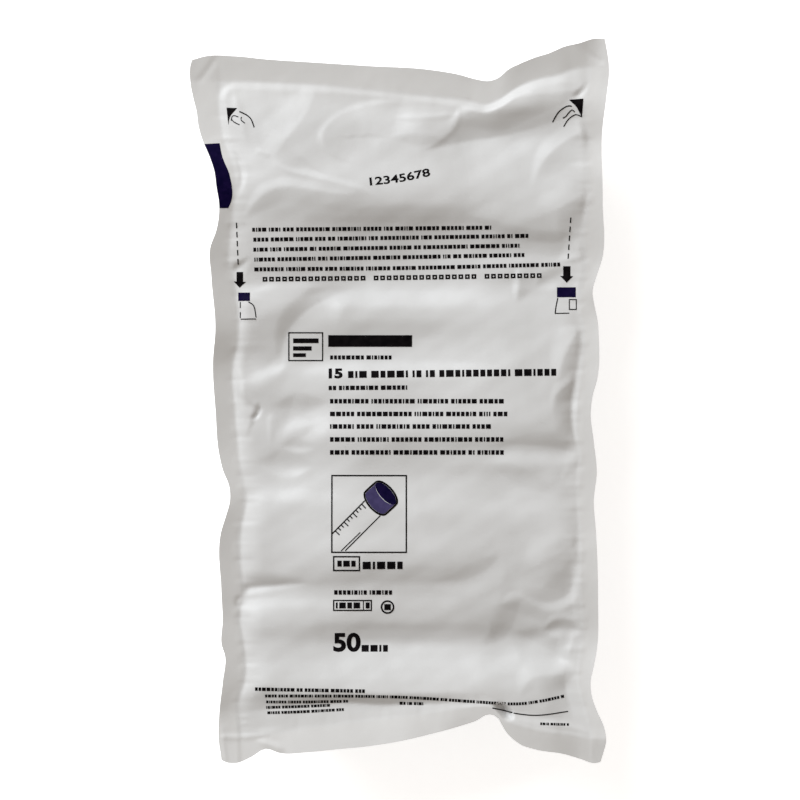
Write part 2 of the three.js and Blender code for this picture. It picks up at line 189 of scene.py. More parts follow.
# Each fold: its line, how far it stands up (or goes down), its reach to the left and to the right
# of the line, how sharp it is from 0 to 1, and the shares of its line over which each end fades.
FOLDS = {
    # the slack peel end
    "peel_left_ridge": ([(-36, 140), (-37.5, 131), (-40, 124), (-46, 116), (-51, 110), (-55, 103)],
                        1.6, 28, 14, 0.5, 0.4, 0.25),
    "peel_left_crease": ([(-71.5, 134), (-70, 126), (-67.5, 117), (-65.5, 110)], 0.3, 3, 3, 0.5, 0.3, 0.3),
    "peel_left_dash": ([(-63, 108.4), (-59, 107), (-55, 104.8)], 0.3, 1.6, 2, 0.6, 0.4, 0.3),
    "hump_thin_line": ([(-56, 105), (-49, 99.5), (-40, 97), (-28, 94), (-17, 91), (-9.5, 88)],
                       0.7, 2.5, 4, 0.5, 0.35, 0.2),
    "left_seam_line": ([(-73.5, 109), (-69.5, 103), (-68, 97), (-69, 91), (-70.5, 86)],
                       -0.7, 2.2, 4, 0.6, 0.25, 0.35),
    "pocket_rim": ([(12, 128), (0, 128.5), (-8, 128), (-17, 126.2), (-26, 122.5), (-32, 117),
                    (-33, 112), (-29.5, 107), (-23, 103.5), (-15, 101.5)], 0.45, 24, 2.8, 0.5, 0.3, 0.3),
    "pocket_dent": ([(-12, 122), (-12, 105)], -0.15, 5, 5, 0, 0.5, 0.5),
    "pocket_shelf": ([(-4, 113.5), (6, 115), (16, 114), (22, 111)], 1, 20, 6, 0.3, 0.4, 0.5),
    "pocket_side": ([(25.5, 128), (25.5, 122.5), (22.5, 116.5), (16, 111), (9, 107.5)],
                    0.35, 2.4, 3, 0.6, 0.2, 0.25),
    "pocket_line": ([(-4, 122), (12, 122.3), (25, 123.5)], 0.3, 2, 2.5, 0.4, 0.3, 0.2),
    "corner_crest": ([(20, 119), (29, 124), (39, 127.6), (50, 130.4), (60, 132), (70, 132.6), (83, 135.5)],
                     2.3, 8, 13, 0.25, 0.35, 0.6),
    "corner_lens": ([(48, 133), (58, 135), (68, 136), (78, 137)], 0.8, 5, 10, 0.2, 0.4, 0.3),
    "corner_valley": ([(8.5, 107.3), (20, 110), (30, 112), (40, 113.4), (50, 115.4), (60, 118), (70, 121)],
                      -2.1, 10, 28, 0.6, 0.3, 0.65),
    "corner_nick": ([(74, 130.5), (78.5, 132.8), (83, 136.8)], -1.1, 2.5, 3, 0.5, 0.35, 0.05),
    "crescent": ([(83, 116.5), (77, 114.8), (71, 111.3), (65, 106.3), (60.5, 100), (57.5, 91)],
                 1.15, 11, 7, 0.45, 0.12, 0.5),
    "brow_crest": ([(83, 92), (76, 87), (69, 82.8), (62, 80), (54, 78.5)],
                   0.85, 9, 13, 0.5, 0.3, 0.5),
    "hump_brow_left": ([(-67, 79), (-62, 85.5), (-56.5, 90), (-48, 92), (-30, 89.5), (-8, 87.5)],
                       0.84, 5, 8, 0.45, 0.2, 0.3),
    "notice_brow": ([(28, 80), (40, 78), (51, 75), (61, 73), (75, 73)], 0.7, 9, 5.5, 0.2, 0.3, 0.15),
    # under the notice
    "right_pucker": ([(81.5, 61.8), (75, 61), (68, 60)], 0.7, 2.6, 9, 0.5, 0.25, 0.5),
    "right_blot": ([(74, 56.5), (66, 52.5), (58, 48)], -0.6, 5, 5, 0.2, 0.4, 0.4),
    "short_rib": ([(51.5, 58), (51.5, 51), (50.5, 42)], 0.9, 7, 3, 0.5, 0.3, 0.4),
    "upper_left_valley": ([(-20, 48), (-32, 43.5), (-41, 37.8), (-47, 31.5), (-50, 24), (-51, 14)],
                          -1.5, 14, 8, 0.4, 0.3, 0.45),
    "notice_sill": ([(-64, 46.5), (-50, 48.3), (-30, 48.5)], 0.5, 3.5, 5, 0.2, 0.3, 0.4),
    "left_pucker": ([(-74.5, 55), (-70.5, 57), (-64, 61.5)], -1.1, 3, 4.5, 0.6, 0.1, 0.5),
    "left_dish": ([(-71, 10.5), (-63, 12), (-56, 15.5), (-51.5, 21), (-49.5, 29)],
                  -0.7, 14, 7, 0.3, 0.3, 0.55),
    "left_lobe": ([(-71, 7), (-62, 8), (-54, 10.5), (-46, 15.5)], 0.3, 5, 8, 0.2, 0.4, 0.45),
    "left_lobe_foot": ([(-56, -3), (-46, -5), (-38, -5), (-28, -1)], -1.1, 9, 14, 0.1, 0.35, 0.4),
    # the left side
    "left_hook": ([(-60.5, -1.5), (-60.6, -4.5), (-62, -7), (-65, -8.6)], -0.9, 1.4, 2.2, 0.8, 0.3, 0.3),
    "left_cone": ([(-70, 8), (-67, 2.5), (-63.5, -1), (-60.5, -3)], 0.45, 2.2, 2.5, 0.5, 0.3, 0.15),
    "left_cone_low": ([(-72, -3), (-67, -4.6), (-61.5, -6)], 0.7, 4, 14, 0.3, 0.3, 0.2),
    "left_tick": ([(-55.5, -5.5), (-55.7, -20)], 0.35, 4, 2.4, 0.6, 0.2, 0.5),
    "left_blob": ([(-51, -18), (-45, -13), (-36, -10.5)], 0.5, 6, 5, 0.2, 0.4, 0.45),
    "left_blob_foot": ([(-52, -20), (-36, -20.5)], -0.48, 4, 3, 0.2, 0.4, 0.4),
    "left_dent": ([(-62, -27), (-50, -28.5), (-36, -28.5)], -0.8, 8, 6, 0.1, 0.4, 0.45),
    # the right side
    "right_bright_corner": ([(80, 32), (75.5, 27.5), (72, 21), (69.5, 14), (68.5, 7)],
                            1.1, 8, 8, 0.5, 0.25, 0.5),
    "right_nick": ([(79, 11), (74.5, 8.3), (70, 5), (67, 1), (66, -6)], 0.6, 7, 4, 0.6, 0.25, 0.5),
    "right_wedge": ([(79, -24.3), (73, -22), (64, -20), (54, -19.5), (42, -19)],
                    -0.9, 15, 7, 0.5, 0.2, 0.5),
    "right_slant": ([(36, -26.5), (48, -27.5), (57, -31), (65, -36), (73, -42)],
                    0.9, 12, 9, 0.3, 0.4, 0.5),
    "right_fold": ([(79, -60), (73.5, -62.3), (68.5, -66), (61, -70), (52, -75)],
                   1.05, 16, 13, 0.5, 0.2, 0.4),
    "right_fold_foot": ([(76, -64), (76, -76), (71, -85), (62, -87), (52, -83)],
                        -1.1, 5, 11, 0.3, 0.4, 0.4),
    "lens_arc": ([(62, -99.5), (66.5, -95), (71, -94), (76, -96), (80.5, -99.5)],
                 0.36, 3, 3, 0.4, 0.25, 0.1),
    "lens_bed": ([(61, -100), (70, -98.4), (79, -99.5)], -0.6, 4, 4, 0.3, 0.3, 0.15),
    "lens_tail": ([(48, -100.5), (58, -104.5), (67, -109.5), (76, -115)], -1.1, 7, 12, 0.3, 0.35, 0.3),
    "right_low_bank": ([(69.5, -98), (70, -106), (71, -114)], 0.6, 5, 10, 0.3, 0.35, 0.35),
    "right_flat": ([(75, -118.5), (63, -118.7), (56, -121), (51, -128)], 0.8, 7, 8, 0.55, 0.15, 0.35),
    # the valleys between the lower tubes
    "sixth_valley": ([(-70.5, -84.5), (-67, -82), (-62, -80.8), (-54, -80), (-38, -79)],
                     -1.2, 7, 3.6, 0.7, 0.1, 0.6),
    "sixth_end": ([(14, -79), (28, -77.5), (38, -73), (44, -66)], -0.7, 6.5, 9, 0.3, 0.5, 0.25),
    "seventh_hook": ([(35, -106), (43, -104), (48, -99), (51, -91.5), (53, -85)],
                     -1.25, 10, 20, 0.3, 0.35, 0.25),
    "hook_curl": ([(44, -88), (46.5, -83.5), (50.5, -82.3), (54, -85)], -0.17, 2.4, 2.4, 0.5, 0.3, 0.3),
    # the foot
    "seal_notch": ([(39.5, -131), (44, -133.2), (48.8, -137.6)], -4.2, 3.2, 3, 0.25, 0.5, 0.25),
    "foot_left_shade": ([(-57, -123), (-57.5, -133), (-58, -144)], -0.5, 9, 8, 0.3, 0.35, 0.1),
    "foot_dash_a": ([(-70.5, -136.3), (-64.5, -137)], 0.3, 1.2, 1.2, 0.5, 0.3, 0.3),
    "foot_dash_b": ([(-70, -139.8), (-64.5, -139.3)], 0.3, 1.2, 1.2, 0.5, 0.3, 0.3),
    "foot_toe_line": ([(58, -139), (64, -140), (72, -141), (84, -144.5)], 0.4, 3, 1.6, 0.6, 0.3, 0.1),
    # the seal's own creases
    "seal_peel_left": ([(-78.5, 149), (-83, 142.5), (-88, 136)], -0.35, 2, 2.5, 0.6, 0.15, 0.25),
    "seal_peel_right": ([(76, 155), (82, 149.5), (90, 145)], -0.48, 2.4, 1.8, 0.6, 0.1, 0.2),
    "seal_foot_left": ([(-76.3, -139), (-75.8, -149), (-74.5, -156)], 0.3, 1.2, 1.2, 0.6, 0.3, 0.1),
    "seal_foot_rib": ([(-77.5, -145), (-68, -145.2), (-55, -144.2)], 0.42, 1.5, 2, 0.5, 0.1, 0.4),
    "seal_foot_bump": ([(-63, -146.5), (-56, -148.5), (-48, -151.5)], 0.6, 2.5, 3, 0.3, 0.35, 0.3),
    "seal_tuck": ([(-68, -84), (-70, -87), (-68.5, -91)], -0.4, 1.5, 2, 0.6, 0.3, 0.3),
}

# ------------------------ curves and distances


def smooth(share):
    share = np.clip(share, 0, 1)
    return share * share * (3 - 2 * share)


def rail(rows):
    """A smooth curve through the rows, as a function of their first number."""
    at, to = np.array(rows, float).T
    slope = np.gradient(to, at)

    def value(place):
        place = np.clip(place, at[0], at[-1])
        i = np.clip(np.searchsorted(at, place) - 1, 0, len(at) - 2)
        span = at[i + 1] - at[i]
        t = (place - at[i]) / span
        return (
            (1 + 2 * t) * (1 - t) ** 2 * to[i]
            + t * (1 - t) ** 2 * span * slope[i]
            + t * t * (3 - 2 * t) * to[i + 1]
            + t * t * (t - 1) * span * slope[i + 1]
        )

    return value


def eased(rows):
    """Like rail, but it never goes past a row: for widths, depths and slopes."""
    at, to = np.array(rows, float).T

    def value(place):
        place = np.clip(place, at[0], at[-1])
        i = np.clip(np.searchsorted(at, place) - 1, 0, len(at) - 2)
        return to[i] + (to[i + 1] - to[i]) * smooth((place - at[i]) / (at[i + 1] - at[i]))

    return value


left_edge, left_seam = rail(LEFT_EDGE), rail(LEFT_SEAM)
right_edge, right_seam = rail(RIGHT_EDGE), rail(RIGHT_SEAM)
peel_edge, peel_seam = rail(PEEL_EDGE), rail(PEEL_SEAM)
foot_edge, foot_seam = rail(FOOT_EDGE), rail(FOOT_SEAM)
seam_left, seam_right = rail(SEAM_HEIGHT_LEFT), rail(SEAM_HEIGHT_RIGHT)
panel_left, panel_middle, panel_right = rail(PANEL_LEFT), rail(PANEL_MIDDLE), rail(PANEL_RIGHT)
left_tip, right_tip = eased(LEFT_TIP), eased(RIGHT_TIP)
foot_tip, peel_tip, foot_lift = eased(FOOT_TIP), eased(PEEL_TIP), eased(FOOT_LIFT)
left_bank, right_bank, foot_bank = eased(LEFT_BANK), eased(RIGHT_BANK), eased(FOOT_BANK)
left_depth, right_depth, foot_depth = eased(LEFT_DEPTH), eased(RIGHT_DEPTH), eased(FOOT_DEPTH)
left_wall, right_wall, foot_wall = eased(LEFT_WALL), eased(RIGHT_WALL), eased(FOOT_WALL)
peel_rim = eased(PEEL_RIM)


def curve_points(path, per_span=10):
    """Points along a smooth curve through the path."""
    p = np.array(path, float)
    if len(p) < 3:
        t = np.linspace(0, 1, 24)[:, None]
        return p[0] * (1 - t) + p[-1] * t
    q = np.vstack([2 * p[0] - p[1], p, 2 * p[-1] - p[-2]])
    t = np.linspace(0, 1, per_span, endpoint=False)[:, None]
    runs = []
    for a, b, c, d in zip(q, q[1:], q[2:], q[3:]):
        runs.append(0.5 * (2 * b + (c - a) * t + (2 * a - 5 * b + 4 * c - d) * t**2
                           + (3 * b - 3 * c + d - a) * t**3))
    return np.vstack([*runs, p[-1:]])


def tapered(share, sharp):
    """How a fold's end fades: softly, or straight to a point where the fold is sharp."""
    return (1 - sharp) * smooth(share) + sharp * np.clip(share, 0, 1)


def fold_height(x, y, path, height, left, right, sharp, start, end):
    """What one fold adds to the height of the film at x, y."""
    points = curve_points(path)
    reach = max(left, right)
    low, high = points.min(0) - reach, points.max(0) + reach
    inside = (x > low[0]) & (x < high[0]) & (y > low[1]) & (y < high[1])
    added = np.zeros_like(x)
    if not inside.any():
        return added
    px, py = x[inside], y[inside]
    nearest = np.full(px.shape, 1e9)
    side = np.zeros(px.shape)
    along = np.zeros(px.shape)
    steps = np.diff(points, axis=0)
    lengths = np.hypot(*steps.T)
    run = np.concatenate([[0], np.cumsum(lengths)])
    for k, (step, length) in enumerate(zip(steps, lengths)):
        dx, dy = step / length
        rx, ry = px - points[k, 0], py - points[k, 1]
        t = np.clip(rx * dx + ry * dy, 0, length)
        away = np.hypot(rx - t * dx, ry - t * dy)
        closer = away < nearest
        nearest[closer] = away[closer]
        side[closer] = (dx * ry - dy * rx)[closer]
        along[closer] = ((run[k] + t) / run[-1])[closer]
    fading = tapered(along / start, sharp) * tapered((1 - along) / end, sharp)
    lean = np.clip(side / np.maximum(nearest, 0.2), -1, 1)
    width = ((left + right) / 2 + (left - right) / 2 * lean) * (0.25 + 0.75 * fading)
    q = np.clip(nearest / width, 0, 1)
    added[inside] = height * fading * ((1 - sharp) * (1 - q * q) ** 2 + sharp * (1 - q) ** 2)
    return added


# ------------------------ the two webs


def wall(distance, bank, run, roundness=2.2):
    """0 up to the gutter at the foot of a wall, 1 where the web has reached its full height."""
    share = np.clip((distance - bank) / run, 0, 1)
    return 1 - (1 - share) ** roundness


def gutter(distance, bank, depth):
    """The bank down from a seam to its gutter, and back to the seam's level under the wall."""
    return -depth * np.clip(distance / bank, 0, 1) ** 0.6 * (1 - smooth((distance - bank) / GUTTER_RUN))


def from_seams(x, y):
    return x - left_seam(y), right_seam(y) - x, y - foot_seam(x), peel_seam(x) - y


def rounded(side, end, radius):
    """Distance from a side's and an end's seam, which meet in a rounded corner."""
    corner = radius - np.hypot(radius - side, radius - end)
    return np.where((side < radius) & (end < radius), corner, np.minimum(side, end))


def waves(place, seed, longest):
    """A sum of a few waves along a line, without a rhythm that shows."""
    rng = random.Random(seed)
    total = 0
    for k in range(5):
        length = longest * 0.68**k
        total = total + 0.8**k * np.sin(place * 2 * math.pi / length + rng.uniform(0, 2 * math.pi))
    return total / 2.4


def puckers(x, y):
    """Small puckers that the seal draws in the film beside it, and the film's own slack."""
    left, right, foot, peel = from_seams(x, y)
    z = SIDE_PUCKER * waves(y, 3, 13) * pucker_fade(left)
    z = z + SIDE_PUCKER * waves(y, 5, 15) * pucker_fade(right)
    z = z * smooth(np.minimum(foot, peel) / 24)
    z = z + END_PUCKER * waves(x, 7, 19) * pucker_fade(foot)
    z = z + END_PUCKER * waves(x, 11, 23) * pucker_fade(peel)
    slack = waves(x * 0.9 + y * 0.35, 13, 46) + waves(y * 0.8 - x * 0.5, 17, 37)
    return z + FILM_SLACK * slack * smooth(np.minimum.reduce([left, right, foot, peel]) / 12)


def pucker_fade(distance):
    return smooth(1 + distance / 3) * smooth(1 - (distance - 2) / 9)


def seam_height(x, y):
    share = np.clip((x - MEAN_ACROSS[1]) / SPAN_ACROSS, 0, 1)
    lift = foot_lift(x) * smooth(1 - (y - foot_seam(x)) / 16)
    return seam_left(y) + (seam_right(y) - seam_left(y)) * share + lift


def panel(x, y):
    """Height of the film over the tubes, lofted through the three long profiles."""
    middle = panel_middle(y)
    to_left, to_right = smooth((MIDDLE_FROM - x) / LEFT_BLEND), smooth((x - MIDDLE_TO) / RIGHT_BLEND)
    return middle + (panel_left(y) - middle) * to_left + (panel_right(y) - middle) * to_right


def front_web(x, y, s, t):
    """Height of the front web. s and t are the web's own places: 0 and 1 at the seams."""
    left, right, foot, peel = from_seams(x, y)
    walls = (wall(left, left_bank(y), left_wall(y)) * wall(right, right_bank(y), right_wall(y))
             * wall(foot, foot_bank(x), foot_wall(x), 1.7) * wall(peel, 0, PEEL_WALL))
    seam = seam_height(x, y)
    z = seam + (panel(x, y) - seam) * walls + puckers(x, y)
    z = z + gutter(left, left_bank(y), left_depth(y))
    z = z + gutter(right, right_bank(y), right_depth(y))
    z = z + gutter(foot, foot_bank(x), foot_depth(x))
    rim = np.minimum(rounded(left, peel, LEFT_CORNER), rounded(right, peel, RIGHT_CORNER))
    z = z + peel_rim(x) * smooth(rim / RIM_WIDTH) * smooth((y - RIM_START) / (RIM_FULL - RIM_START))
    z = z + left_tip(y) * (left_seam(y) - left_edge(y)) * np.clip(-s, 0, 1)
    z = z + right_tip(y) * (right_edge(y) - right_seam(y)) * np.clip(s - 1, 0, 1) ** 1.4
    z = z + foot_tip(x) * (foot_seam(x) - foot_edge(x)) * np.clip(-t, 0, 1)
    z = z + peel_tip(x) * (peel_edge(x) - peel_seam(x)) * np.clip(t - 1, 0, 1)
    inside = smooth(np.minimum.reduce([left, right, foot, peel]) / 4)
    for name, fold in FOLDS.items():
        z = z + fold_height(x, y, *fold) * (1 if name.startswith("seal") else inside)
    return z


def between(share, low_edge, low_seam, high_seam, high_edge):
    """From one edge of the pack (-1) over its seams (0 and 1) to the other edge (2)."""
    return np.select(
        [share < 0, share > 1],
        [low_seam + (low_seam - low_edge) * share, high_seam + (high_edge - high_seam) * (share - 1)],
        low_seam + (high_seam - low_seam) * share,
    )


def plan(s, t):
    """Where a web's place s across and t along lies in plan."""
    x, y = between(s, *MEAN_ACROSS), between(t, *MEAN_ALONG)
    for _ in range(9):
        x = between(s, left_edge(y), left_seam(y), right_seam(y), right_edge(y))
        y = between(t, foot_edge(x), foot_seam(x), peel_seam(x), peel_edge(x))
    return x, y


SEAL_CELLS = 10
ACROSS_CELLS = 180
ALONG_CELLS = 330


def web_lines(body_cells, seal_cells):
    return np.concatenate([
        np.linspace(-1, 0, seal_cells, endpoint=False),
        np.linspace(0, 1, body_cells, endpoint=False),
        np.linspace(1, 2, seal_cells + 1),
    ])


def belly_share(share, length, inside):
    """Draws a web's places together near the seams, where the belly is steep."""
    reach = BELLY_RUN / length

    def drawn(q):
        return np.where((q > 0) & (q < reach),
                        reach * (1 - np.cos(np.clip(q / reach, 0, 1) * math.pi / 2)), q)

    near = np.where(share < 0.5, drawn(share), 1 - drawn(1 - share))
    return share + (near - share) * inside


def pleated(place, seed):
    """The run of the belly's wall: the gathered film hangs in and out along a side."""
    return BELLY_RUN * (1 + PLEAT_SHARE * waves(place, seed, PLEAT_LENGTH))


def back_web(s, t):
    """The back web: its places in plan and its height. It lies flat under the tubes."""
    inside_s = smooth(np.minimum(s, 1 - s) * SPAN_ACROSS / 12)
    inside_t = smooth(np.minimum(t, 1 - t) * SPAN_ALONG / 12)
    s_in, t_in = belly_share(s, SPAN_ACROSS, inside_t), belly_share(t, SPAN_ALONG, inside_s)
    x, y = plan(s_in, t_in)
    left, right, foot, peel = from_seams(x, y)
    near_x = np.clip(1 - np.minimum(left / pleated(y, 19), right / pleated(y, 23)), 0, 1)
    near_y = np.clip(1 - np.minimum(foot / pleated(x, 29), peel / pleated(x, 31)), 0, 1)
    q = np.clip(np.hypot(near_x, near_y), 0, 1)
    drop = np.sqrt(1 - q * q)
    height = np.minimum(front_web(x, y, s, t) - SEAL_THICKNESS, seam_height(x, y) * (1 - drop))
    on_seal = (s <= 0) | (s >= 1) | (t <= 0) | (t >= 1)
    z = np.where(on_seal, front_web(x, y, s, t) - SEAL_THICKNESS, height)
    return x, y, np.maximum(z, 0)


def grid(lines_s, lines_t):
    s, t = np.meshgrid(lines_s, lines_t)
    return s.ravel(), t.ravel()


def outline(nx, ny):
    """Indices round the border of a grid of nx by ny points, counter-clockwise."""
    foot_row = [*range(nx - 1)]
    right_col = [j * nx + nx - 1 for j in range(ny - 1)]
    peel_row = [(ny - 1) * nx + i for i in range(nx - 1, 0, -1)]
    left_col = [j * nx for j in range(ny - 1, 0, -1)]
    return foot_row + right_col + peel_row + left_col


def cells(nx, ny, first, up):
    faces = []
    for j in range(ny - 1):
        for i in range(nx - 1):
            a = first + j * nx + i
            quad = (a, a + 1, a + nx + 1, a + nx)
            faces.append(quad if up else quad[::-1])
    return faces


def make_pouch():
    s_lines, t_lines = web_lines(ACROSS_CELLS, SEAL_CELLS), web_lines(ALONG_CELLS, SEAL_CELLS)
    s, t = grid(s_lines, t_lines)
    x, y = plan(s, t)
    front = np.column_stack([x, y, front_web(x, y, s, t)])
    sb, tb = grid(s_lines[::2], t_lines[::2])
    back = np.column_stack(back_web(sb, tb))
    nx, ny = len(s_lines), len(t_lines)
    bx, by = len(s_lines[::2]), len(t_lines[::2])
    faces = cells(nx, ny, 0, True) + cells(bx, by, len(front), False)
    rim, back_rim = outline(nx, ny), [len(front) + i for i in outline(bx, by)]
    for k in range(len(back_rim)):
        a, b, c = rim[2 * k], rim[2 * k + 1], rim[(2 * k + 2) % len(rim)]
        faces.append((back_rim[k], back_rim[(k + 1) % len(back_rim)], c, b, a))
    mesh = bpy.data.meshes.new("pouch_film")
    mesh.from_pydata((np.vstack([front, back]) * MM).tolist(), [], faces)
    on_seal = np.concatenate([
        np.clip(np.maximum.reduce([-u, u - 1, -v, v - 1]) * SEAL_CELLS * 0.8 + 0.5, 0, 1)
        for u, v in ((s, t), (sb, tb))
    ])
    mesh.attributes.new("seal", "FLOAT", "POINT").data.foreach_set("value", on_seal.astype(np.float32))
    pouch = bpy.data.objects.new("pouch_film", mesh)
    bpy.context.scene.collection.objects.link(pouch)
    pouch.select_set(True)
    bpy.context.view_layer.objects.active = pouch
    bpy.ops.object.shade_smooth_by_angle(angle=math.radians(60))
    return pouch


# ------------------------ materials


def new_material(name):
    material = bpy.data.materials.new(name)
    material.use_nodes = True
    nodes = material.node_tree.nodes
    return material, nodes, material.node_tree.links, nodes["Principled BSDF"]


def noise(nodes, links, scale, detail):
    place = nodes.new("ShaderNodeTexCoord")
    pattern = nodes.new("ShaderNodeTexNoise")
    pattern.inputs["Scale"].default_value = scale
    pattern.inputs["Detail"].default_value = detail
    links.new(place.outputs["Object"], pattern.inputs["Vector"])
    return pattern


def tint_between(nodes, links, pattern, *stops):
    """A colour that a pattern picks between two stops, each a share and a colour."""
    tint = nodes.new("ShaderNodeValToRGB")
    for element, (share, colour) in zip(tint.color_ramp.elements, stops):
        element.position = share
        element.color = (*colour, 1)
    links.new(pattern.outputs["Fac"], tint.inputs["Fac"])
    return tint.outputs["Color"]


def white_film():
    """White peel film: satin, slightly mottled, greyer and duller where it is welded."""
    material, nodes, links, shader = new_material("white_film")
    mottle = tint_between(
        nodes, links, noise(nodes, links, 26, 4),
        (0.3, (0.575, 0.573, 0.565)), (0.7, (0.615, 0.613, 0.608)))
    weld = nodes.new("ShaderNodeAttribute")
    weld.attribute_name = "seal"
    seal_tint = nodes.new("ShaderNodeMix")
    seal_tint.data_type = "RGBA"
    seal_tint.inputs[7].default_value = (0.6, 0.593, 0.58, 1)
    links.new(weld.outputs["Fac"], seal_tint.inputs[0])
    links.new(mottle, seal_tint.inputs[6])
    links.new(seal_tint.outputs[2], shader.inputs["Base Color"])
    gloss = nodes.new("ShaderNodeMapRange")
    gloss.inputs["To Min"].default_value = 0.36
    gloss.inputs["To Max"].default_value = 0.5
    links.new(weld.outputs["Fac"], gloss.inputs["Value"])
    links.new(gloss.outputs["Result"], shader.inputs["Roughness"])
    shader.inputs["Specular IOR Level"].default_value = 0.3
    crinkle = noise(nodes, links, 90, 5)
    crinkle.inputs["Roughness"].default_value = 0.45
    bump = nodes.new("ShaderNodeBump")
    bump.inputs["Strength"].default_value = 0.5
    bump.inputs["Distance"].default_value = 0.0006
    links.new(crinkle.outputs["Fac"], bump.inputs["Height"])
    links.new(bump.outputs["Normal"], shader.inputs["Normal"])
    return material


def ink(name, thin, full):
    """Printing ink: a slightly uneven coat, between its thin and its full colour."""
    material, nodes, links, shader = new_material(name)
    coat = tint_between(nodes, links, noise(nodes, links, 400, 3), (0.35, full), (0.75, thin))
    links.new(coat, shader.inputs["Base Color"])
    shader.inputs["Roughness"].default_value = 0.5
    shader.inputs["Specular IOR Level"].default_value = 0.03
    return material


# ------------------------ print

INK_TOP = 0.12  # over the film
INK_THICKNESS = 0.2
INK_CELL = 0.8  # the longest side of a cell, so that the ink lies on the film


def ink_grid(columns, rows, place, keep=None):
    """A flat grid whose corners place(u, v) puts in plan; keep(i, j) picks the cells with ink."""
    bpy.ops.mesh.primitive_grid_add(x_subdivisions=columns, y_subdivisions=rows, size=2)
    shape = bpy.context.object
    grid_form = bmesh.new()
    grid_form.from_mesh(shape.data)
    if keep:
        bare = []
        for face in grid_form.faces:
            middle = face.calc_center_median()
            i, j = int((middle.x + 1) / 2 * columns), int((middle.y + 1) / 2 * rows)
            if not keep(i, j):
                bare.append(face)
        bmesh.ops.delete(grid_form, geom=bare, context="FACES")
    for vertex in grid_form.verts:
        x, y = place((vertex.co.x + 1) / 2 * columns, (vertex.co.y + 1) / 2 * rows)
        vertex.co = (x * MM, y * MM, 0)
    grid_form.to_mesh(shape.data)
    grid_form.free()
    return shape


def cells_for(length):
    return max(1, math.ceil(length / INK_CELL))


def along(path):
    """Places by the distance along a line and the distance to its left, and the line's length."""
    points = curve_points(path)
    steps = np.diff(points, axis=0)
    run = np.concatenate([[0], np.cumsum(np.hypot(*steps.T))])
    heading = np.gradient(points, run, axis=0)
    heading /= np.hypot(*heading.T)[:, None]

    def place(distance, aside):
        x, y = np.interp(distance, run, points[:, 0]), np.interp(distance, run, points[:, 1])
        hx, hy = np.interp(distance, run, heading[:, 0]), np.interp(distance, run, heading[:, 1])
        return x - aside * hy, y + aside * hx

    return place, run[-1]


def bar(x0, x1, y0, y1):
    return patch((x0, y0), (x1, y0), (x1, y1), (x0, y1))


def patch(a, b, c, d):
    """A four-sided field of ink; c and d are alike on a triangle."""
    columns = cells_for(max(math.dist(a, b), math.dist(d, c)))
    rows = cells_for(max(math.dist(a, d), math.dist(b, c)))

    def place(u, v):
        u, v = u / columns, v / rows
        return [
            (a[k] * (1 - u) + b[k] * u) * (1 - v) + (d[k] * (1 - u) + c[k] * u) * v for k in (0, 1)
        ]

    return ink_grid(columns, rows, place)


def ribbon(path, width, dashes=0):
    """A line of ink, whole or in dashes."""
    on_path, length = along(path)
    columns = cells_for(length)
    if dashes:
        columns = 5 * dashes - 2
    return ink_grid(
        columns, 1, lambda u, v: on_path(u * length / columns, (v - 0.5) * width),
        (lambda i, j: i % 5 < 3) if dashes else None)


RING_CELLS = 36


def ring(x, y, radius, width):
    def place(u, v):
        turn, r = u / RING_CELLS * 2 * math.pi, radius + (v - 0.5) * width
        return x + r * math.sin(turn), y + r * math.cos(turn)

    return ink_grid(RING_CELLS, 1, place)


def oval(x, y, half_length, half_width, heading):
    """A filled oval, its cells drawn in from a square's."""
    columns = cells_for(2 * half_length)
    c, s = math.cos(heading), math.sin(heading)

    def place(u, v):
        p, q = 2 * u / columns - 1, 2 * v / columns - 1
        p, q = p * math.sqrt(1 - q * q / 2), q * math.sqrt(1 - p * p / 2)
        p, q = p * half_length, q * half_width
        return x + p * c - q * s, y + p * s + q * c

    return ink_grid(columns, columns, place)


def box(x0, x1, y0, y1, width, divider=None):
    """An outlined box, with one upright line in it where a divider is given."""
    def lines(low, high):
        return [low, *np.linspace(low + width, high - width, cells_for(high - low) + 1), high]

    xs, ys = lines(x0, x1), lines(y0, y1)
    if divider:
        xs = sorted([*xs, divider, divider + width])

    def keep(i, j):
        on_divider = divider and xs[i] == divider
        return i in (0, len(xs) - 2) or j in (0, len(ys) - 2) or on_divider

    return ink_grid(
        len(xs) - 1, len(ys) - 1,
        lambda u, v: (np.interp(u, range(len(xs)), xs), np.interp(v, range(len(ys)), ys)), keep)


def words(path, size, seed):
    """A line of ink in words, each a row of plain blocks."""
    rng = random.Random(seed)
    on_path, length = along(path)
    sides, inked = [0], []
    while True:
        for _ in range(rng.choice((2, 3, 4, 5, 6, 7, 8, 9, 11))):
            width = size * rng.choice((0.2, 0.46, 0.46, 0.5, 0.7))
            if sides[-1] + width > length:
                break
            columns = cells_for(width)
            sides += [*np.linspace(sides[-1], sides[-1] + width, columns + 1)[1:]]
            sides += [sides[-1] + 0.17 * size]
            inked += [True] * columns + [False]
        else:
            sides[-1] += 0.26 * size
            continue
        break
    rows = cells_for(0.64 * size)
    return ink_grid(
        len(inked) - 1, rows,
        lambda u, v: on_path(np.interp(u, range(len(sides)), sides), (v / rows - 0.5) * 0.64 * size),
        lambda i, j: inked[i])


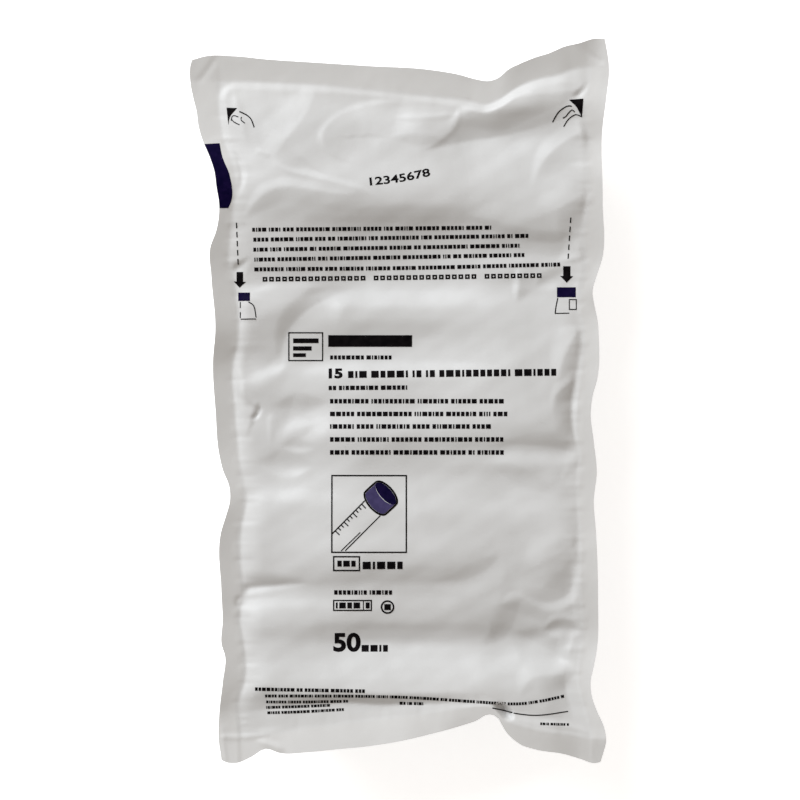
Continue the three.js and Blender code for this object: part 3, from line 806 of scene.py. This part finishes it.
def blocks(path, size, seed):
    """A line of small square blocks."""
    rng = random.Random(seed)
    on_path, length = along(path)
    count = round(length / (1.12 * size))
    step = length / count
    gaps = {i for i in range(count) if rng.random() < 0.07}
    sides = [0.12 * step, 0.36 * step, 0.6 * step, 0.84 * step, step]
    lines = [step * i + side for i in range(count) for side in sides]
    return ink_grid(
        5 * count - 1, 3,
        lambda u, v: on_path(np.interp(u, range(5 * count), lines), (v / 3 - 0.5) * 0.8 * size),
        lambda i, j: i % 5 < 3 and i // 5 not in gaps and not (i % 5 == 1 and j == 1))


def digits(text, path, height, weight):
    """Plain numerals set along a line."""
    bpy.ops.object.text_add()
    shape = bpy.context.object
    shape.data.body = text
    shape.data.offset = weight
    shape.data.resolution_u = 5
    shape.data.fill_mode = "FRONT"
    bpy.ops.object.convert(target="MESH")
    form = bmesh.new()
    form.from_mesh(shape.data)
    bmesh.ops.remove_doubles(form, verts=form.verts, dist=1e-6)
    low = [min(vertex.co[k] for vertex in form.verts) for k in (0, 1)]
    high = [max(vertex.co[k] for vertex in form.verts) for k in (0, 1)]
    on_path, length = along(path)
    for k, extent in ((0, length), (1, height)):
        for i in range(1, cells_for(extent)):
            cut = [0, 0, 0]
            cut[k] = low[k] + (high[k] - low[k]) * i / cells_for(extent)
            along_axis = [0, 0, 0]
            along_axis[k] = 1
            bmesh.ops.bisect_plane(
                form, geom=[*form.verts, *form.edges, *form.faces], plane_co=cut, plane_no=along_axis)
    for vertex in form.verts:
        u = (vertex.co.x - low[0]) / (high[0] - low[0])
        v = (vertex.co.y - low[1]) / (high[1] - low[1])
        x, y = on_path(u * length, v * height)
        vertex.co = (x * MM, y * MM, 0)
    form.to_mesh(shape.data)
    form.free()
    return shape


def film_below(pouch):
    mesh = pouch.data
    return BVHTree.FromPolygons(
        [vertex.co.copy() for vertex in mesh.vertices], [face.vertices[:] for face in mesh.polygons])


def print_on(film, name, shapes, material):
    """Joins flat shapes, lays them on the film and gives them the ink's thickness."""
    bpy.ops.object.select_all(action="DESELECT")
    for shape in shapes:
        shape.select_set(True)
    bpy.context.view_layer.objects.active = shapes[0]
    if len(shapes) > 1:
        bpy.ops.object.join()
    piece = bpy.context.object
    piece.name = piece.data.name = name
    form = bmesh.new()
    form.from_mesh(piece.data)
    bmesh.ops.remove_doubles(form, verts=form.verts, dist=0.00002)
    bmesh.ops.dissolve_degenerate(form, edges=form.edges, dist=0.00001)
    for face in form.faces:
        if face.normal.z < 0:
            face.normal_flip()
    for vertex in form.verts:
        touch = film.ray_cast(Vector((vertex.co.x, vertex.co.y, 0.2)), Vector((0, 0, -1)))[0]
        vertex.co.z = touch.z + INK_TOP * MM
    form.to_mesh(piece.data)
    form.free()
    coat = piece.modifiers.new("coat", "SOLIDIFY")
    coat.thickness = INK_THICKNESS * MM
    coat.offset = -1
    bpy.ops.object.modifier_apply(modifier="coat")
    piece.data.materials.clear()
    piece.data.materials.append(material)
    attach(piece, "root")
    return piece


def peel_marks():
    """Black corners with hands that pull them, at both corners of the peel end."""
    left = [
        patch((-74, 119), (-73.5, 122.6), (-70.2, 126.2), (-74.8, 126.4)),
        ribbon([(-69.2, 124.7), (-66, 123.1), (-64.1, 121.2), (-62.8, 117.8)], 0.5),
        ribbon([(-72.8, 120.7), (-72.4, 122.6), (-71.3, 122.9), (-69.7, 122.3)], 0.4),
        ribbon([(-72.5, 121.2), (-71.5, 120.1), (-69.2, 118.9)], 0.4),
        ribbon([(-68.3, 122.3), (-68.5, 121), (-66.8, 119.6)], 0.4),
    ]
    right = [
        patch((78.8, 122), (79.4, 130.2), (73.2, 129.7), (76.4, 126.8)),
        ribbon([(66.1, 120), (68.2, 123.7), (70.6, 125.9), (72.8, 127), (74.3, 126.9)], 0.5),
        ribbon([(75.6, 124.4), (74.5, 125.3), (72.8, 123.8), (72, 122.6), (70.5, 121.8)], 0.45),
        ribbon([(78.8, 122.3), (76.7, 123.2), (75.3, 123), (72.8, 121.1), (70.9, 118.1)], 0.45),
    ]
    return left + right


def tear_marks():
    """Dashed lines down to an arrow and a small picture of the pack, on both sides."""
    return [
        ribbon([(-70.4, 76.5), (-69.7, 58.5)], 0.5, dashes=5),
        ribbon([(73.9, 78.7), (72.8, 61)], 0.5, dashes=5),
        bar(-70.4, -67.6, 51, 55.3), patch((-71.6, 51.2), (-69.1, 48.5), (-69.1, 48.5), (-66.4, 51)),
        bar(70.7, 73.8, 53.4, 57.8), patch((69.4, 53.6), (72.2, 50.7), (72.2, 50.7), (75, 53.5)),
        ribbon([(-68.8, 42.3), (-68.8, 35.4)], 0.4, dashes=2),
        ribbon([(-65.2, 42.4), (-62.9, 40.5), (-61.9, 35.6)], 0.45),
        ribbon([(-68.6, 34.9), (-62, 35)], 0.4),
        ribbon([(68.3, 44), (67.6, 40.6), (67.2, 37.7)], 0.45),
        ribbon([(67, 37.4), (73.3, 37.5)], 0.4),
        box(73.1, 76.5, 38.9, 43.6, 0.4),
    ]


def pack_flaps():
    """The ends of the two small pictured packs."""
    return [bar(-69.7, -64.6, 42.8, 46.4), bar(68, 76.1, 44.4, 48.7)]


def notice():
    """Six lines about how the pack is opened."""
    lines = [
        [(-63.6, 73.5), (40.3, 74.4)], [(-63.1, 69.2), (57.1, 70.9)], [(-63.1, 64.9), (52.8, 66.7)],
        [(-62.7, 60.6), (55, 62.7)], [(-62.7, 56.4), (8, 57.2), (70.5, 58.6)],
    ]
    return [words(path, 2.6, 20 + k) for k, path in enumerate(lines)] + [
        blocks([(-62.3, 52.1), (61.8, 53.8)], 2.5, 31)]


def title():
    """What the pack holds: plain fields where a name stands, then its lines."""
    lines = [
        [(-30, -0.5), (47.2, -0.5)], [(-30, -6), (48.9, -6)], [(-30, -11.4), (39.4, -11.4)],
        [(-30, -17), (47.2, -17)], [(-30, -22.6), (46.3, -22.6)],
    ]
    return [
        box(-48.1, -33, 16.8, 29.3, 0.5), bar(-46, -35, 24.6, 26.6), bar(-46, -38, 21.4, 23.2),
        bar(-46, -40.5, 18.6, 20.2),
        bar(-30.8, 5.4, 23, 28), words([(-30, 18.4), (-2.8, 18.4)], 2.7, 41),
        digits("15", [(-30.6, 9.3), (-24.6, 9.35)], 4.3, 0.05),
        words([(-22.2, 11), (67.5, 12)], 4.6, 46), words([(-30.6, 5.2), (3.7, 5.4)], 2.9, 43),
        *[words(path, 3.0, 50 + k) for k, path in enumerate(lines)],
    ]


CAP_MIDDLE = (-5.9, -40.3)
CAP_HEADING = math.radians(-48)
CAP_HALF_LENGTH = 6.0
CAP_HALF_WIDTH = 2.5
CAP_SKIRT = 5.9


def on_cap(turn, back, out=0, rim=0):
    """A place on the pictured cap, by the turn round its top and how far down its skirt it is."""
    c, s = math.cos(CAP_HEADING), math.sin(CAP_HEADING)
    p = (CAP_HALF_LENGTH + out) * math.cos(turn)
    q = (CAP_HALF_WIDTH + out + rim) * math.sin(turn)
    return (CAP_MIDDLE[0] + p * c - q * s - back * 0.74, CAP_MIDDLE[1] + p * s + q * c - back * 0.67)


def tube_picture():
    """A framed line drawing of a capped tube."""
    rim = [on_cap(math.pi * k / 8, 0, out=0.5) for k in range(9)]
    skirt = [on_cap(math.pi * (1 + k / 8), CAP_SKIRT, out=0.5) for k in range(9)]
    upper, lower = [(-15, -43.4), (-29, -57.6)], [(-8.3, -49.8), (-15.9, -57.4)]
    on_upper, length = along(upper)
    ticks = []
    for k in range(10):
        reach = 2.6 if k % 3 == 0 else 1.6
        ticks.append(ribbon(
            [on_upper(2 + k * (length - 2) / 10, 0.1), on_upper(2 + k * (length - 2) / 10, reach)], 0.5))
    return [
        box(-29.5, 3.2, -65.9, -32.3, 0.6), ribbon(upper, 0.5), ribbon(lower, 0.45),
        ribbon([(-15.9, -57.4), (-23.4, -64.9)], 0.45), ribbon([(-16.9, -57), (-25.2, -65)], 0.4), *ticks,
        ribbon([*rim, *skirt, rim[0]], 0.8),
    ]


def cap_side():
    """The cap's side: from the outline of its skirt to the oval of its top."""
    columns, rows = 14, 8
    return ink_grid(
        columns, rows,
        lambda u, v: on_cap(math.pi * (1 + u / columns), CAP_SKIRT * (1 - v / rows), rim=0.25 * v / rows))


def cap_top():
    return [oval(*CAP_MIDDLE, CAP_HALF_LENGTH, CAP_HALF_WIDTH, CAP_HEADING)]


def symbols():
    """Boxed marks under the picture."""
    return [
        box(-28.7, -17, -73.8, -67.2, 0.6), words([(-26.8, -70.5), (-18.9, -70.5)], 4, 61),
        words([(-15.9, -71.3), (4.1, -71.2)], 5, 68),
        words([(-28.2, -83), (-2.3, -83)], 2.9, 63),
        box(-28.7, -11.9, -91, -86.2, 0.55, divider=-15.8), words([(-27.5, -88.6), (-16.9, -88.6)], 4, 64),
        bar(-14.6, -12.9, -89.9, -87.3), ring(-5.2, -89.3, 2.6, 0.7), bar(-6.6, -3.8, -90.6, -88),
    ]


def count():
    return [
        digits("50", [(-28.6, -108.7), (-16.8, -108.7)], 8.2, 0.035),
        words([(-16.4, -107.2), (-5, -107.2)], 4.4, 71),
    ]


def foot_lines():
    """The maker's lines, that the film's fold over the foot runs through."""
    return [
        words([(-62.3, -124.6), (-38, -125), (-14.4, -125.4)], 2.3, 81),
        words([(-58, -127.6), (-30, -127.6), (0, -128), (30, -129.8), (49, -130.9), (60, -129.8),
               (72, -127.4)], 1.9, 82),
        words([(-57.5, -130.2), (-40, -130.2), (-22, -129.9)], 1.8, 83),
        words([(-57.5, -132.6), (-44, -132.2), (-30, -131.6)], 1.8, 84),
        words([(-57, -134.9), (-42, -134.4), (-24, -133.4)], 1.8, 85),
        words([(0, -130.7), (11, -130.9)], 1.9, 86),
        ribbon([(40, -132.6), (50, -135), (60, -135.8), (72.6, -134.2)], 0.45),
        words([(60.6, -139.4), (73.5, -139.8)], 1.6, 87),
    ]


def eye_mark():
    """The field on the left seal that the sealing line registers by, out to the seal's edge."""
    inner = rail([(82, -74.4), (84.5, -73.1), (96.5, -73.2), (105.6, -76.7), (111.2, -77.8)])

    def place(u, v):
        y = 82.8 + (110.6 + 0.05 * u - 82.8) * v / 34
        outer = left_edge(y) + 0.15
        return outer + (inner(y) - outer) * u / 8, y

    return ink_grid(8, 34, place)


def make_print(pouch):
    black = ink("print_black", (0.007, 0.0055, 0.006), (0.002, 0.0015, 0.002))
    navy = ink("print_navy", (0.007, 0.003, 0.031), (0.002, 0.001, 0.018))
    violet = ink("print_violet", (0.06, 0.049, 0.125), (0.042, 0.034, 0.092))
    film = film_below(pouch)
    fields = {
        "print_peel_marks": (peel_marks, black), "print_tear_marks": (tear_marks, black),
        "print_notice": (notice, black), "print_title": (title, black),
        "print_tube_picture": (tube_picture, black), "print_symbols": (symbols, black),
        "print_count": (count, black), "print_foot_lines": (foot_lines, black),
        "print_lot_number": (lambda: [digits(
            "12345678", [(-12.7, 92.4), (0.2, 93.9), (13.4, 96.6)], 3.6, 0.02)], black),
        "print_cap_side": (lambda: [cap_side()], violet),
        "print_cap_top": (cap_top, navy),
        "print_pack_flaps": (pack_flaps, navy),
        "seal_eye_mark": (lambda: [eye_mark()], navy),
    }
    for name, (shapes, material) in fields.items():
        print_on(film, name, shapes(), material)


# ------------------------ the stage


FLOOR_GLOW = 0.7  # makes the pale floor white where a camera or a gloss sees it
WORLD_LIGHT = 0.4
WORLD_COLOUR = (1, 0.905, 0.815, 1)
KEY_PLACE = (-2.93, 3.49, 3.07)
KEY_SIZE = 4.6
KEY_POWER = 370
KEY_COLOUR = (0.97, 1.02, 1.07)
CAMERA_PLACE = (0.0002, 0, 2.5)
CAMERA_LENS = 256


def make_stage():
    bpy.ops.mesh.primitive_plane_add(size=8)
    floor = bpy.context.object
    floor.name = "floor"
    material, nodes, links, shader = new_material("floor_white")
    shader.inputs["Base Color"].default_value = (0.8, 0.8, 0.8, 1)
    shader.inputs["Roughness"].default_value = 0.9
    rays = nodes.new("ShaderNodeLightPath")
    seen = nodes.new("ShaderNodeMath")
    seen.operation = "MAXIMUM"
    links.new(rays.outputs["Is Camera Ray"], seen.inputs[0])
    links.new(rays.outputs["Is Glossy Ray"], seen.inputs[1])
    glow = nodes.new("ShaderNodeMath")
    glow.operation = "MULTIPLY"
    glow.inputs[1].default_value = FLOOR_GLOW
    links.new(seen.outputs[0], glow.inputs[0])
    shader.inputs["Emission Color"].default_value = (1, 1, 1, 1)
    links.new(glow.outputs[0], shader.inputs["Emission Strength"])
    floor.data.materials.append(material)

    world = bpy.data.worlds.new("studio")
    bpy.context.scene.world = world
    world.use_nodes = True
    nodes, links = world.node_tree.nodes, world.node_tree.links
    rays = nodes.new("ShaderNodeLightPath")
    level = nodes.new("ShaderNodeMapRange")
    level.inputs["To Min"].default_value = WORLD_LIGHT
    level.inputs["To Max"].default_value = 1.0
    links.new(rays.outputs["Is Camera Ray"], level.inputs["Value"])
    links.new(level.outputs["Result"], nodes["Background"].inputs["Strength"])
    warmth = nodes.new("ShaderNodeMix")
    warmth.data_type = "RGBA"
    warmth.inputs[6].default_value = WORLD_COLOUR
    warmth.inputs[7].default_value = (1, 1, 1, 1)
    links.new(rays.outputs["Is Camera Ray"], warmth.inputs[0])
    links.new(warmth.outputs[2], nodes["Background"].inputs["Color"])


def make_key_light():
    lamp = bpy.data.lights.new("key", "AREA")
    lamp.shape = "DISK"
    lamp.size = KEY_SIZE
    lamp.energy = KEY_POWER
    lamp.color = KEY_COLOUR
    holder = bpy.data.objects.new("key", lamp)
    holder.location = KEY_PLACE
    holder.rotation_euler = (-Vector(KEY_PLACE)).to_track_quat("-Z", "Y").to_euler()
    bpy.context.scene.collection.objects.link(holder)


def make_camera():
    camera = bpy.data.objects.new("camera", bpy.data.cameras.new("camera"))
    camera.data.sensor_width = 36
    camera.data.lens = CAMERA_LENS
    camera.location = CAMERA_PLACE
    bpy.context.scene.collection.objects.link(camera)
    bpy.context.scene.camera = camera


# ------------------------ putting it together

bpy.ops.object.select_all(action="DESELECT")
pouch = make_pouch()
pouch.data.materials.append(white_film())
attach(pouch, "root")
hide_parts("sealed_pack")
make_print(pouch)

make_stage()
make_key_light()
make_camera()
bpy.context.scene.view_settings.view_transform = "Standard"
